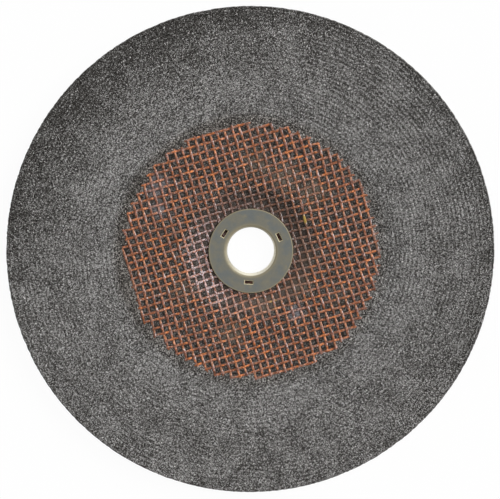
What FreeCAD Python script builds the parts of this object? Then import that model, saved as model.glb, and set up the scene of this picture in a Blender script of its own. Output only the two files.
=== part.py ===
"""Depressed-centre grinding disc, in millimetres.

A bonded abrasive body is moulded as a shallow dish: a thin flat ring, the annulus, steps down
over a slope to a flat hub in the middle. A piece of open glass-fibre cloth is pressed into the
dished face, and a flanged steel ring is set through the hub and holds the cloth down.

The origin is on the bore's axis at the hub's seating face, which is the lowest face, and +Z
points out of the dished face.
"""
import FreeCAD, Part
import math
import os

import Sketcher

DRIVING_SIZES = {
    # moulded body
    "outer_diameter": 230.0,
    "body_thickness": 6.0,
    "recess_depth": 4.6,
    "recess_floor_diameter": 44.0,
    "slope_angle": 32.0,
    "floor_bend": 3.0,
    "shoulder_bend": 10.0,
    "hub_corner_bend": 8.0,
    "back_shoulder_bend": 4.5,
    "rim_bevel": 0.8,
    "hub_hole_clearance": 0.1,
    # glass-fibre cloth
    "cloth_diameter": 121.0,
    "cloth_bed_depth": 0.35,
    "cloth_edge_clearance": 0.3,
    "cloth_hole_clearance": 0.4,
    "strand_thickness": 0.3,
    "strand_pitch": 3.63,
    "warp_width": 1.3,
    "weft_width": 1.2,
    "weave_turn": 16.0,
    # steel centre ring
    "bore_diameter": 22.23,
    "ring_thickness": 0.8,
    "flange_diameter": 40.0,
    "lip_round": 1.6,
    "inner_bevel": 0.5,
    "flange_edge_bevel": 0.25,
    "collar_end_height": 0.5,
    "slot_length": 3.8,
    "slot_width": 1.4,
    "slot_bevel": 0.4,
    "slot_circle_diameter": 29.8,
    "slot_first_angle": 26.2,
    "slot_count": 3,
}
FULL_TURN = 360.0
Z_AXIS = FreeCAD.Vector(0, 0, 1)
START, END = 1, 2


def size(name):
    """The expression that reads one cell of the sheet."""
    return f"Sizes.{name}"


def make_sheet(document):
    """Writes each driving size into its own named cell."""
    sheet = document.addObject("Spreadsheet::Sheet", "Sizes")
    for row, (name, value) in enumerate(DRIVING_SIZES.items(), start=1):
        sheet.set(f"A{row}", name)
        sheet.set(f"B{row}", str(value))
        sheet.setAlias(f"B{row}", name)
    document.recompute()
    return sheet


# Derived places, each an expression of the driving sizes

BORE_RADIUS = f"{size('bore_diameter')} / 2"
COLLAR_RADIUS = f"{BORE_RADIUS} + {size('ring_thickness')}"
FLANGE_RADIUS = f"{size('flange_diameter')} / 2"
HUB_HOLE_RADIUS = f"{COLLAR_RADIUS} + {size('hub_hole_clearance')}"
CLOTH_HOLE_RADIUS = f"{COLLAR_RADIUS} + {size('inner_bevel')} + {size('cloth_hole_clearance')}"
CLOTH_RADIUS = f"{size('cloth_diameter')} / 2"
BED_RADIUS = f"{CLOTH_RADIUS} + {size('cloth_edge_clearance')}"
RIM_RADIUS = f"{size('outer_diameter')} / 2"

FLOOR_HEIGHT = size("body_thickness")
FACE_HEIGHT = f"{size('body_thickness')} + {size('recess_depth')}"
BED_FLOOR_HEIGHT = f"{FLOOR_HEIGHT} - {size('cloth_bed_depth')}"
BED_FACE_HEIGHT = f"{FACE_HEIGHT} - {size('cloth_bed_depth')}"
SEAT_HEIGHT = f"{BED_FLOOR_HEIGHT} + 2 * {size('strand_thickness')}"
FLANGE_TOP_HEIGHT = f"{SEAT_HEIGHT} + {size('ring_thickness')}"

HALF_SLOPE_TAN = f"tan({size('slope_angle')} / 2)"
SLOPE_RUN = f"{size('recess_depth')} / tan({size('slope_angle')})"


def floor_corner_radius(drop):
    """Radius of the sharp corner between floor and slope, on the face moved down by drop."""
    flat = f"{size('recess_floor_diameter')} / 2"
    return f"{flat} + ({size('floor_bend')} + {drop}) * {HALF_SLOPE_TAN}"


def shoulder_corner_radius(drop):
    """Radius of the sharp corner between slope and annulus, on the face moved down by drop."""
    return f"{floor_corner_radius(drop)} + {SLOPE_RUN}"


# Sections, drawn as corners with rounds

def add_rounded_corner(sketch, before, after, corner, radius):
    """Rounds the corner between two lines: an arc that touches both, with its radius bound."""
    near = sketch.Geometry[before].EndPoint
    far = sketch.Geometry[after].StartPoint
    into = (corner - near).normalize()
    out = (far - corner).normalize()
    value = sketch.evalExpression(radius)
    turn = math.acos(max(-1.0, min(1.0, into.dot(out))))
    left = into.cross(out).z > 0
    side = FreeCAD.Vector(-into.y, into.x, 0) * (1 if left else -1)
    centre = near + side * value
    first_point = near if left else far
    begin = math.atan2(first_point.y - centre.y, first_point.x - centre.x)
    circle = Part.Circle(centre, Z_AXIS, value)
    arc = sketch.addGeometry(Part.ArcOfCircle(circle, begin, begin + turn), False)
    first, last = (START, END) if left else (END, START)
    sketch.addConstraint(Sketcher.Constraint("Tangent", before, END, arc, first))
    sketch.addConstraint(Sketcher.Constraint("Tangent", arc, last, after, START))
    bound = sketch.addConstraint(Sketcher.Constraint("Radius", arc, value))
    sketch.setExpression(f"Constraints[{bound}]", radius)


def bind_point(sketch, geometry, place, x_expression, y_expression):
    """Ties one point of the sketch to two expressions, measured from the sketch's origin."""
    for kind, expression in (("DistanceX", x_expression), ("DistanceY", y_expression)):
        value = sketch.evalExpression(expression)
        pair = Sketcher.Constraint(kind, -1, START, geometry, place, value)
        bound = sketch.addConstraint(pair)
        sketch.setExpression(f"Constraints[{bound}]", expression)


def draw_section(sketch, corners):
    """Draws a closed section from its corners, each (across, up, radius or None)."""
    places = []
    for across, up, _ in corners:
        places.append(FreeCAD.Vector(sketch.evalExpression(across), sketch.evalExpression(up), 0))
    count = len(corners)
    trims = []
    for i, (_, _, radius) in enumerate(corners):
        into = (places[i] - places[i - 1]).normalize()
        out = (places[(i + 1) % count] - places[i]).normalize()
        turn = math.acos(max(-1.0, min(1.0, into.dot(out))))
        trims.append(sketch.evalExpression(radius) * math.tan(turn / 2) if radius else 0.0)
    for i in range(count):
        j = (i + 1) % count
        along = (places[j] - places[i]).normalize()
        begin = places[i] + along * trims[i]
        finish = places[j] - along * trims[j]
        sketch.addGeometry(Part.LineSegment(begin, finish), False)
    for i, (across, up, radius) in enumerate(corners):
        before = (i - 1) % count
        if radius is None:
            sketch.addConstraint(Sketcher.Constraint("Coincident", before, END, i, START))
            bind_point(sketch, i, START, across, up)
            continue
        mark = sketch.addGeometry(Part.Point(places[i]), True)
        sketch.addConstraint(Sketcher.Constraint("PointOnObject", mark, START, before))
        sketch.addConstraint(Sketcher.Constraint("PointOnObject", mark, START, i))
        bind_point(sketch, mark, START, across, up)
        add_rounded_corner(sketch, before, i, places[i], radius)


def origin_feature(body, role):
    """One of the body's own origin planes or axes."""
    return next(item for item in body.Origin.OriginFeatures if item.Role == role)


def body_sketch(body, name, role):
    """A sketch that lies flat on one of the body's origin planes."""
    sketch = body.newObject("Sketcher::SketchObject", name)
    sketch.AttachmentSupport = [(origin_feature(body, role), "")]
    sketch.MapMode = "FlatFace"
    return sketch


def turned_body(document, name, corners):
    """A body whose first feature turns a section once round the vertical axis."""
    body = document.addObject("PartDesign::Body", name)
    body.Label = name
    sketch = body_sketch(body, f"{name}_section", "XZ_Plane")
    document.recompute()
    draw_section(sketch, corners)
    turned = body.newObject("PartDesign::Revolution", f"{name}_turned")
    turned.Profile = sketch
    turned.ReferenceAxis = (sketch, ["V_Axis"])
    turned.Angle = FULL_TURN
    sketch.Visibility = False
    document.recompute()
    return body


# Moulded abrasive body

def make_abrasive_disc(document):
    """The bonded abrasive: one dished moulding of even thickness, with a bed for the cloth."""
    bed = size("cloth_bed_depth")
    thickness = size("body_thickness")
    edge = size("inner_bevel")
    rim = size("rim_bevel")
    corners = [
        (HUB_HOLE_RADIUS, "0", None),
        (HUB_HOLE_RADIUS, f"{BED_FLOOR_HEIGHT} - {edge}", None),
        (f"{HUB_HOLE_RADIUS} + {edge}", BED_FLOOR_HEIGHT, None),
        (floor_corner_radius(bed), BED_FLOOR_HEIGHT, f"{size('floor_bend')} + {bed}"),
        (shoulder_corner_radius(bed), BED_FACE_HEIGHT, f"{size('shoulder_bend')} - {bed}"),
        (BED_RADIUS, BED_FACE_HEIGHT, None),
        (BED_RADIUS, FACE_HEIGHT, None),
        (f"{RIM_RADIUS} - {rim}", FACE_HEIGHT, None),
        (RIM_RADIUS, f"{FACE_HEIGHT} - {rim}", None),
        (RIM_RADIUS, f"{size('recess_depth')} + {rim}", None),
        (f"{RIM_RADIUS} - {rim}", size("recess_depth"), None),
        (shoulder_corner_radius(thickness), size("recess_depth"), size("back_shoulder_bend")),
        (floor_corner_radius(thickness), "0", size("hub_corner_bend")),
    ]
    return turned_body(document, "abrasive_disc", corners)


# Glass-fibre cloth

def cloth_path():
    """Corners of the strands' underside: straight runs that stay on or just above the bed.

    Over the floor's hollow bend it is the chord of the bend, and over the shoulder it is one
    tangent at the middle of the bend, so the strands never enter the body.
    """
    bed = size("cloth_bed_depth")
    angle = size("slope_angle")
    floor_radius = f"({size('floor_bend')} + {bed})"
    shoulder_radius = f"({size('shoulder_bend')} - {bed})"
    flat_end = f"{size('recess_floor_diameter')} / 2"
    chord_run = f"{floor_radius} * sin({angle})"
    chord_rise = f"{floor_radius} * (1 - cos({angle}))"
    reach = f"{shoulder_radius} * (tan({angle} / 2) - tan({angle} / 4))"
    shoulder = shoulder_corner_radius(bed)
    return [
        (CLOTH_HOLE_RADIUS, BED_FLOOR_HEIGHT),
        (flat_end, BED_FLOOR_HEIGHT),
        (f"{flat_end} + {chord_run}", f"{BED_FLOOR_HEIGHT} + {chord_rise}"),
        (f"{shoulder} - {reach} * cos({angle})", f"{BED_FACE_HEIGHT} - {reach} * sin({angle})"),
        (f"{shoulder} + {reach}", BED_FACE_HEIGHT),
        (CLOTH_RADIUS, BED_FACE_HEIGHT),
    ]


def make_cloth_layer(document, name, strands_below):
    """A dished layer one strand thick, which lies on the given number of strands."""
    lift = f"{strands_below} * {size('strand_thickness')}"
    lower = [(across, f"{up} + {lift}", None) for across, up in cloth_path()]
    upper = [(across, f"{up} + {size('strand_thickness')}", None) for across, up, _ in lower]
    sketch = document.addObject("Sketcher::SketchObject", f"{name}_section")
    sketch.Placement = FreeCAD.Placement(
        FreeCAD.Vector(0, 0, 0), FreeCAD.Rotation(FreeCAD.Vector(1, 0, 0), FULL_TURN / 4)
    )
    draw_section(sketch, lower + upper[::-1])
    layer = document.addObject("Part::Revolution", f"{name}_layer")
    layer.Source = sketch
    layer.Axis = Z_AXIS
    layer.Base = FreeCAD.Vector(0, 0, 0)
    layer.Angle = FULL_TURN
    layer.Solid = True
    return layer


def make_strands(document, sheet, name, width, turn):
    """Parallel straight bars at the weave's pitch, one of them over the disc's centre."""
    reach = int(sheet.cloth_diameter / 2 / sheet.strand_pitch)
    bars = []
    for step in range(-reach, reach + 1):
        bar = document.addObject("Part::Box", f"{name}_bar_{step + reach:02d}")
        bar.setExpression("Length", size("cloth_diameter"))
        bar.setExpression("Width", size(width))
        bar.setExpression("Height", f"{FACE_HEIGHT} + {size('body_thickness')}")
        bar.setExpression("Placement.Base.x", f"-{CLOTH_RADIUS}")
        bar.setExpression(
            "Placement.Base.y", f"{step} * {size('strand_pitch')} - {size(width)} / 2"
        )
        bars.append(bar)
    group = document.addObject("Part::Compound", f"{name}_bars")
    group.Links = bars
    group.Placement.Rotation = FreeCAD.Rotation(Z_AXIS, 1)
    group.setExpression("Placement.Rotation.Angle", turn)
    return group


def make_strand_family(document, sheet, name, strands_below, width, turn):
    """The strands of one direction: straight bars cut to the dished layer that they lie in."""
    family = document.addObject("Part::Common", name)
    family.Base = make_strands(document, sheet, name, width, turn)
    family.Tool = make_cloth_layer(document, name, strands_below)
    return family


def make_glass_cloth(document, sheet):
    """Open glass-fibre cloth: the weft lies on the body's bed, and the warp lies on the weft."""
    along = size("weave_turn")
    across = f"{size('weave_turn')} + {FULL_TURN / 4}"
    weft = make_strand_family(document, sheet, "weft", 0, "weft_width", along)
    warp = make_strand_family(document, sheet, "warp", 1, "warp_width", across)
    cloth = document.addObject("Part::Compound", "glass_cloth")
    cloth.Label = "glass_cloth"
    cloth.Links = [weft, warp]
    document.recompute()
    return cloth


# Steel centre ring

def make_centre_ring(document):
    """Pressed steel ring: a flange on the cloth, a rounded lip and a collar down the hub."""
    inner = size("inner_bevel")
    edge = size("flange_edge_bevel")
    corners = [
        (BORE_RADIUS, size("collar_end_height"), None),
        (COLLAR_RADIUS, size("collar_end_height"), None),
        (COLLAR_RADIUS, f"{SEAT_HEIGHT} - {inner}", None),
        (f"{COLLAR_RADIUS} + {inner}", SEAT_HEIGHT, None),
        (FLANGE_RADIUS, SEAT_HEIGHT, None),
        (FLANGE_RADIUS, f"{FLANGE_TOP_HEIGHT} - {edge}", None),
        (f"{FLANGE_RADIUS} - {edge}", FLANGE_TOP_HEIGHT, None),
        (BORE_RADIUS, FLANGE_TOP_HEIGHT, size("lip_round")),
    ]
    body = turned_body(document, "centre_ring", corners)
    cut_slots(document, body)
    return body


def cut_slots(document, body):
    """Slots punched through the flange, equally spaced on one circle, with bevelled edges."""
    plain_volume = body.Shape.Volume
    sketch = body_sketch(body, "slot_outline", "XY_Plane")
    sketch.AttachmentOffset = FreeCAD.Placement(
        FreeCAD.Vector(0, 0, 0), FreeCAD.Rotation(Z_AXIS, 1)
    )
    sketch.setExpression("AttachmentOffset.Rotation.Angle", size("slot_first_angle"))
    document.recompute()
    middle = f"{size('slot_circle_diameter')} / 2"
    inner = f"{middle} - {size('slot_width')} / 2"
    outer = f"{middle} + {size('slot_width')} / 2"
    side = f"{size('slot_length')} / 2"
    draw_section(
        sketch,
        [
            (inner, f"-{side}", None),
            (outer, f"-{side}", None),
            (outer, side, None),
            (inner, side, None),
        ],
    )
    slot = body.newObject("PartDesign::Pocket", "slot")
    slot.Profile = sketch
    slot.Type = "ThroughAll"
    slot.Reversed = True
    sketch.Visibility = False
    document.recompute()
    if body.Shape.Volume >= plain_volume:
        raise RuntimeError("the slot cuts nothing")
    pattern = body.newObject("PartDesign::PolarPattern", "slots")
    pattern.Originals = [slot]
    pattern.Axis = (origin_feature(body, "Z_Axis"), [""])
    pattern.Angle = FULL_TURN
    pattern.setExpression("Occurrences", size("slot_count"))
    body.Tip = pattern
    document.recompute()
    bevel_slots(document, body, pattern)


def bevel_slots(document, body, pattern):
    """Bevels the straight edges in which the slots meet the flange's top face."""
    top = body.evalExpression(FLANGE_TOP_HEIGHT)
    names = []
    for number, edge in enumerate(pattern.Shape.Edges, start=1):
        level = abs(edge.BoundBox.ZMin - top) < 1e-6 and abs(edge.BoundBox.ZMax - top) < 1e-6
        if level and isinstance(edge.Curve, Part.Line):
            names.append(f"Edge{number}")
    bevel = body.newObject("PartDesign::Chamfer", "slot_edges")
    bevel.Base = (pattern, names)
    bevel.setExpression("Size", size("slot_bevel"))
    body.Tip = bevel
    document.recompute()


# Checks and files

def check(document, parts):
    """Stops on any object that failed and on any sub-part without a valid solid."""
    for item in document.Objects:
        if {"Invalid", "Error"} & set(item.State):
            raise RuntimeError(f"{item.Name} is {item.State}")
    for part in parts:
        shape = part.Shape
        if shape.isNull() or not shape.isValid() or not shape.Solids:
            raise RuntimeError(f"{part.Label} has no valid solid")


def main():
    document = FreeCAD.newDocument("grinding_disc")
    sheet = make_sheet(document)
    parts = [
        make_abrasive_disc(document),
        make_glass_cloth(document, sheet),
        make_centre_ring(document),
    ]
    document.recompute()
    check(document, parts)
    os.makedirs("parts", exist_ok=True)
    for part in parts:
        part.Shape.exportStep(f"parts/{part.Label}.step")
        solids = len(part.Shape.Solids)
        print(f"{part.Label}: {solids} solids, {part.Shape.Volume:.1f} cubic millimetres")


main()
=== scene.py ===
"""Depressed-centre grinding disc: its surfaces and finishes, in metres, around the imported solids.

The abrasive body and the glass-fibre cloth are surfaces worked out from formulas. The steel
centre ring keeps its solid and gets a finish.
"""

import math

import bpy
import numpy as np
from bpy.props import FloatProperty, FloatVectorProperty, IntProperty, PointerProperty
from mathutils import Matrix, Vector


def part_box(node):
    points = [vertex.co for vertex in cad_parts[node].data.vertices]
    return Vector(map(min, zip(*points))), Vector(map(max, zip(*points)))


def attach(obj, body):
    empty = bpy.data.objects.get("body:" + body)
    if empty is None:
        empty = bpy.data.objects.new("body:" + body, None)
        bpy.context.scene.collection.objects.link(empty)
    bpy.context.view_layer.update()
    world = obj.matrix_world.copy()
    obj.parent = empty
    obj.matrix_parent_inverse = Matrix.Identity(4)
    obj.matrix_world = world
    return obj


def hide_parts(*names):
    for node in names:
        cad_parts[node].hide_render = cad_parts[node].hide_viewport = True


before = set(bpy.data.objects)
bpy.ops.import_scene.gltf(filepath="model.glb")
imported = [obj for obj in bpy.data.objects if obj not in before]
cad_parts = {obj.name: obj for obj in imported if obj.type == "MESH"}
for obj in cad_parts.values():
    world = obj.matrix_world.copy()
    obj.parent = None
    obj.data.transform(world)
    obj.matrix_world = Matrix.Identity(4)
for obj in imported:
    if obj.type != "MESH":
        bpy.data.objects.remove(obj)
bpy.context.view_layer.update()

bl_info = {
    "name": "Grinding disc",
    "version": (1, 0, 0),
    "blender": (4, 5, 0),
    "location": "View3D > Sidebar > Grinding disc",
    "description": "Builds a depressed-centre grinding disc with its cloth, ring and stage",
    "category": "Object",
}

MM = 0.001
TAU = 2 * math.pi
BODY = "root"

DISC_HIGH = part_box("abrasive_disc")[1]
RING_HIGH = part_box("centre_ring")[1]
FACE_HEIGHT = DISC_HIGH.z
RIM_RADIUS = DISC_HIGH.x
FLANGE_RADIUS = RING_HIGH.x


# Settings that a user would change


def length(name, description, value):
    """A length; its default is given in millimetres."""
    return FloatProperty(name=name, description=description, default=value * MM, unit="LENGTH")


def degrees(name, description, value):
    """An angle; its default is given in degrees."""
    return FloatProperty(
        name=name, description=description, default=math.radians(value), subtype="ANGLE"
    )


def colour(name, description, *value):
    """A colour; its default is given as red, green and blue."""
    return FloatVectorProperty(name=name, description=description, default=value, subtype="COLOR")


def amount(name, description, value):
    """A plain number."""
    return FloatProperty(name=name, description=description, default=value)


class DishSettings(bpy.types.PropertyGroup):
    """The form of the dished face."""

    floor_height: length("Floor height", "Height of the hub's face", 6.0)
    floor_radius: length("Floor radius", "Where the flat hub ends", 22.0)
    slope: degrees("Slope", "Angle of the slope", 32.0)
    floor_bend: length("Floor bend", "Radius of the hollow bend", 3.0)
    shoulder_bend: length("Shoulder bend", "Radius of the upper bend", 10.0)
    thickness: length("Thickness", "Thickness of the body", 6.0)
    hub_hole_radius: length("Hub hole", "Radius of the hole in the hub", 12.015)
    bed_radius: length("Bed radius", "Outer radius of the cloth's bed", 60.8)


class AbrasiveSettings(bpy.types.PropertyGroup):
    """The moulded abrasive body."""

    ripple_pitch: length("Ripple pitch", "Distance between moulded rings", 2.0)
    ripple_height: length("Ripple height", "Half height of the rings", 0.21)
    grit_height: length("Grit height", "Spread of the grains' heights", 0.01)
    bed_sink: length("Bed sink", "How far the grit lies below the cloth", 0.22)
    rim_wear: length("Rim wear", "Depth of the nicks in the rim's wall", 0.12)
    grain_size: length("Grain size", "Size of the coarse grains", 0.18)
    dark: colour("Pits", "Colour between the grains", 0.012, 0.0095, 0.007)
    grey: colour("Grains", "Colour of most grains", 0.085, 0.082, 0.078)
    light: colour("Light grains", "Colour of the palest grains", 0.59, 0.58, 0.57)
    resin: colour("Stained grains", "Palest grains in the cloth's openings", 0.175, 0.161, 0.152)
    # Partly resin along the strands, partly painted shade at the openings' edges beside them
    resin_and_strand_shade: colour("Wicked resin", "Colour of resin along the strands", 0.022, 0.013, 0.009)
    seed: IntProperty(name="Seed", description="Start of the random draws", default=11)


class ClothSettings(bpy.types.PropertyGroup):
    """The open glass-fibre cloth."""

    warp_pitch: length("Warp pitch", "Distance between warp strands", 3.613)
    weft_pitch: length("Weft pitch", "Distance between weft strands", 3.658)
    turn: degrees("Turn", "Direction of the weft", 16.0)
    cut_radius: length("Cut radius", "Radius of the die-cut edge", 60.8)
    hole_radius: length("Hole radius", "Radius of the hole under the flange", 13.2)
    strand_thickness: length("Strand thickness", "Thickness of a strand", 0.4)
    sink: length("Sink", "How deep the cloth is pressed in", 0.12)
    warp_width: length("Warp width", "Width of a warp strand", 1.22)
    weft_width: length("Weft width", "Width of a weft strand", 1.22)
    wave_height: length("Wave height", "How far a strand rises and dips", 0.15)
    orange: colour("Resin orange", "Colour of the soaked strands", 0.40, 0.112, 0.026)
    bright: colour("Bright orange", "Colour of thick clear resin", 0.97, 0.285, 0.055)
    # Also painted as shade along the strands' sides
    brown: colour("Brown", "Colour between the fibres", 0.075, 0.026, 0.013)
    mauve: colour("Worn mauve", "Colour of the strands' crests", 0.27, 0.098, 0.066)
    # Dust and dry fibre; also the colour of the painted highlight along the strands' lit side
    dust_and_sheen: colour("Dust", "Colour of dry fibre and dust", 0.74, 0.67, 0.66)
    seed: IntProperty(name="Seed", description="Start of the random draws", default=23)


class RingSettings(bpy.types.PropertyGroup):
    """The steel centre ring."""

    plate: colour("Plate", "Colour of the dull zinc plate", 0.152, 0.146, 0.116)
    bluish: colour("Bluish plate", "Colour of the stained patches", 0.121, 0.130, 0.125)
    # Worn colour; made lighter, it also paints highlights on the flange's edge and the slots' edges
    worn: colour("Worn edge", "Colour of the rubbed edges", 0.22, 0.195, 0.13)
    # Painted reflection: the bore wall's bright cream stands for the light it reflects
    wall: colour("Bore wall", "Colour of the bare bore wall", 0.92, 0.88, 0.74)
    slot_radius: length("Slot circle", "Radius of the slots' circle", 14.9)
    slot_angle: degrees("Slot angle", "Direction of the first slot", 26.2)
    frame_length: length("Frame length", "Length of a slot's pressed edge", 4.2)
    frame_width: length("Frame width", "Width of a slot's pressed edge", 1.9)


class StageSettings(bpy.types.PropertyGroup):
    """Camera, floor and light."""

    camera_distance: length("Camera distance", "From the face's centre", 1000.0)
    camera_up: degrees("Camera up", "Tilt of the view towards the top", 5.2)
    camera_left: degrees("Camera left", "Tilt of the view to the left", 1.35)
    focal_length: amount("Focal length", "In millimetres", 153.1)
    key_strength: amount("Key light", "Strength of the main light", 3.25)
    key_turn: degrees("Key direction", "Where the main light stands", 28.0)
    key_rise: degrees("Key height", "Height angle of the main light", 44.0)
    key_spread: degrees("Key spread", "How wide the main light looks", 40.0)
    fill: amount("Fill", "Strength of the light from all round", 0.28)


# Shapes as arrays


def slope_run(dish):
    """How far out the slope reaches on its way up, between its two sharp corners."""
    return (FACE_HEIGHT - dish.floor_height) / math.tan(dish.slope)


def dish_height(radius, drop, dish):
    """Height of the dished face, moved inwards by drop, at each radius.

    Flat floor, a hollow arc about a centre above the floor's edge, a straight slope, an arc
    about a centre below the shoulder, and the flat outer face. A drop moves every part of the
    line square to itself: it lengthens the hollow arc's radius and shortens the other's.
    """
    hollow = dish.floor_bend + drop
    crown = dish.shoulder_bend - drop
    half = math.tan(dish.slope / 2)
    bends = dish.floor_bend + dish.shoulder_bend
    shoulder_radius = dish.floor_radius + bends * half + slope_run(dish)
    hollow_run = hollow * math.sin(dish.slope)
    crown_run = crown * math.sin(dish.slope)
    hollow_end = dish.floor_radius + hollow_run
    crown_start = shoulder_radius - crown_run
    floor = dish.floor_height - drop
    face = FACE_HEIGHT - drop
    in_hollow = np.clip(radius - dish.floor_radius, 0, hollow_run)
    in_crown = np.clip(shoulder_radius - radius, 0, crown_run)
    low = floor + hollow - np.sqrt(hollow**2 - in_hollow**2)
    high = face - crown + np.sqrt(crown**2 - in_crown**2)
    slope = low + (radius - hollow_end) * math.tan(dish.slope)
    return np.where(radius < hollow_end, low, np.where(radius > crown_start, high, slope))


def unit(vectors):
    """Each vector divided by its own length."""
    return vectors / np.linalg.norm(vectors, axis=-1, keepdims=True)


def dish_normal(x, y, drop, dish):
    """Unit normal of the dished face at each point, from the slope of its line."""
    step = 0.01 * MM
    radius = np.hypot(x, y)
    rise = dish_height(radius + step, drop, dish) - dish_height(radius - step, drop, dish)
    tilt = rise / (2 * step)
    return unit(np.stack([-tilt * x / radius, -tilt * y / radius, np.ones_like(x)], axis=-1))


def stacked(*corners):
    """Triangles from the point numbers of their three corners, one kind after another."""
    return np.concatenate([np.stack(three, axis=1) for three in corners])


def ring_faces(first, count, following, following_count):
    """Faces between two rings of points that lie evenly round the axis.

    Rings with as many points give quads. Where one ring has half as many points as the other,
    each of its steps takes three triangles.
    """
    if count == following_count:
        j = np.arange(count)
        k = (j + 1) % count
        return np.stack([first + j, following + j, following + k, first + k], axis=1), None
    if count == 2 * following_count:
        j = np.arange(following_count)
        k = (j + 1) % following_count
        a, b, c = first + 2 * j, first + 2 * j + 1, first + 2 * k
        d, e = following + j, following + k
        return None, stacked((a, d, b), (b, d, e), (b, e, c))
    j = np.arange(count)
    k = (j + 1) % count
    a, b = first + j, first + k
    c, d, e = following + 2 * j, following + 2 * j + 1, following + 2 * k
    return None, stacked((a, c, d), (a, d, b), (b, d, e))


def new_object(name, data):
    """An object in the scene that shows the given mesh, light or camera."""
    item = bpy.data.objects.new(name, data)
    bpy.context.scene.collection.objects.link(item)
    return item


def new_piece(name, points, quads, triangles=(), smooth=True):
    """A mesh object at the origin from arrays of points, quads and triangles."""
    mesh = bpy.data.meshes.new(name)
    faces = [f.tolist() for f in quads] + [f.tolist() for f in triangles]
    mesh.from_pydata(points.tolist(), [], sum(faces, []))
    mesh.polygons.foreach_set("use_smooth", np.full(len(mesh.polygons), smooth))
    mesh.update()
    return new_object(name, mesh)


def add_attribute(piece, label, values):
    """Stores one number for each point of a piece."""
    attribute = piece.data.attributes.new(label, "FLOAT", "POINT")
    attribute.data.foreach_set("value", values)


# Abrasive body

FINE, MEDIUM, COARSE = 640, 320, 160
RIM_BEVEL = 0.8 * MM
HOLE_BEVEL = 0.5 * MM
HUB_CORNER_BEND = 8.0 * MM
BACK_SHOULDER_BEND = 4.5 * MM
BED_SLOPE = 2.4 * MM
SECTION_STEP = 1.1 * MM
BEND_STEP, BEND_REACH = 0.7 * MM, 12 * MM
RIPPLES_STRONGEST = math.radians(35.0)
RIPPLE_MEAN, RIPPLE_SWING, RIPPLE_SINK = 0.75, 0.3, 0.1 * MM
# A point's lift: its own and its neighbours' share, the ends of its range, its weight on the wall
OWN_LIFT, SHARED_LIFT = 0.9, 0.4
LOWEST_LIFT, HIGHEST_LIFT, WALL_LIFT = -2.5, 1.2, 1.5
# Spread of its shift outwards, as a share of the grit's, and round, as a share of a step
OUTWARD_SPREAD, ROUND_SPREAD = 0.35, 0.12


def arc_points(centre_radius, centre_height, bend, start, end, count):
    """Points of an arc in the section, angles from the outward direction, ends included."""
    angle = np.linspace(start, end, count)
    radius, height = centre_radius + bend * np.cos(angle), centre_height + bend * np.sin(angle)
    return np.stack([radius, height], axis=1)


def body_section(dish, abrasive):
    """The body's closed section as rings: radius, height, points round and roughness of each.

    It runs up the hole's wall, out over the dished face in even steps, down the rim and back
    in under the body. Over the outer face four steps make one moulded ripple.
    """
    hole = dish.hub_hole_radius
    sink = abrasive.bed_sink
    edge = dish.bed_radius - 0.3 * MM
    bend_end = dish.floor_radius + BEND_REACH
    radius = np.concatenate([
        np.arange(hole + HOLE_BEVEL, dish.floor_radius, SECTION_STEP),
        np.arange(dish.floor_radius, bend_end, BEND_STEP),
        np.arange(bend_end, dish.bed_radius - 0.4 * MM, SECTION_STEP),
    ])
    bed = np.stack([radius, dish_height(radius, sink, dish)], axis=1)
    step = abrasive.ripple_pitch / 4
    outer = np.arange(math.ceil((edge + BED_SLOPE) / step) * step, RIM_RADIUS - RIM_BEVEL, step)
    face = np.stack([outer, np.full_like(outer, FACE_HEIGHT)], axis=1)
    back_height = FACE_HEIGHT - dish.thickness
    half = math.tan(dish.slope / 2)
    back_floor = dish.floor_radius + (dish.floor_bend + dish.thickness) * half
    back_shoulder = back_floor + slope_run(dish)
    quarter = math.pi / 2
    shoulder_arc = arc_points(
        back_shoulder + BACK_SHOULDER_BEND * half, back_height - BACK_SHOULDER_BEND,
        BACK_SHOULDER_BEND, quarter, quarter + dish.slope, 6,
    )
    hub_arc = arc_points(
        back_floor - HUB_CORNER_BEND * half, HUB_CORNER_BEND,
        HUB_CORNER_BEND, dish.slope - quarter, -quarter, 8,
    )
    back_face = np.arange(RIM_RADIUS - 3 * MM, shoulder_arc[0, 0] + 2 * MM, -4 * MM)
    bevel = [(RIM_RADIUS - RIM_BEVEL, FACE_HEIGHT), (RIM_RADIUS - 0.2 * MM, FACE_HEIGHT - 0.4 * MM)]
    wall = [(RIM_RADIUS, h) for h in np.linspace(FACE_HEIGHT - 1.2 * MM, back_height + 1.0 * MM, 5)]
    bands = [
        ([(hole, 0.0), (hole, dish.floor_height - sink - HOLE_BEVEL)], MEDIUM, 0.0),
        (bed, MEDIUM, 0.55),
        ([(edge, FACE_HEIGHT - sink), (edge + BED_SLOPE / 2, FACE_HEIGHT - sink / 2)], FINE, 0.6),
        (face, FINE, 1.0),
        (bevel, FINE, 0.8),
        (wall, FINE, 0.6),
        ([(RIM_RADIUS - RIM_BEVEL, back_height)], MEDIUM, 0.3),
        (np.stack([back_face, np.full_like(back_face, back_height)], axis=1), COARSE, 0.3),
        (shoulder_arc, COARSE, 0.2),
        (hub_arc, COARSE, 0.1),
    ]
    rings = [np.asarray(points, float).reshape(-1, 2) for points, _, _ in bands]
    counts = np.concatenate([np.full(len(r), count) for r, (_, count, _) in zip(rings, bands)])
    rough = np.concatenate([np.full(len(r), value) for r, (_, _, value) in zip(rings, bands)])
    return np.concatenate(rings), counts, rough


def shared_round(values):
    """A ring of values, each added to its two neighbours, divided to keep their spread."""
    return (values + (np.roll(values, 1) + np.roll(values, -1))) / math.sqrt(3)


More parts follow.
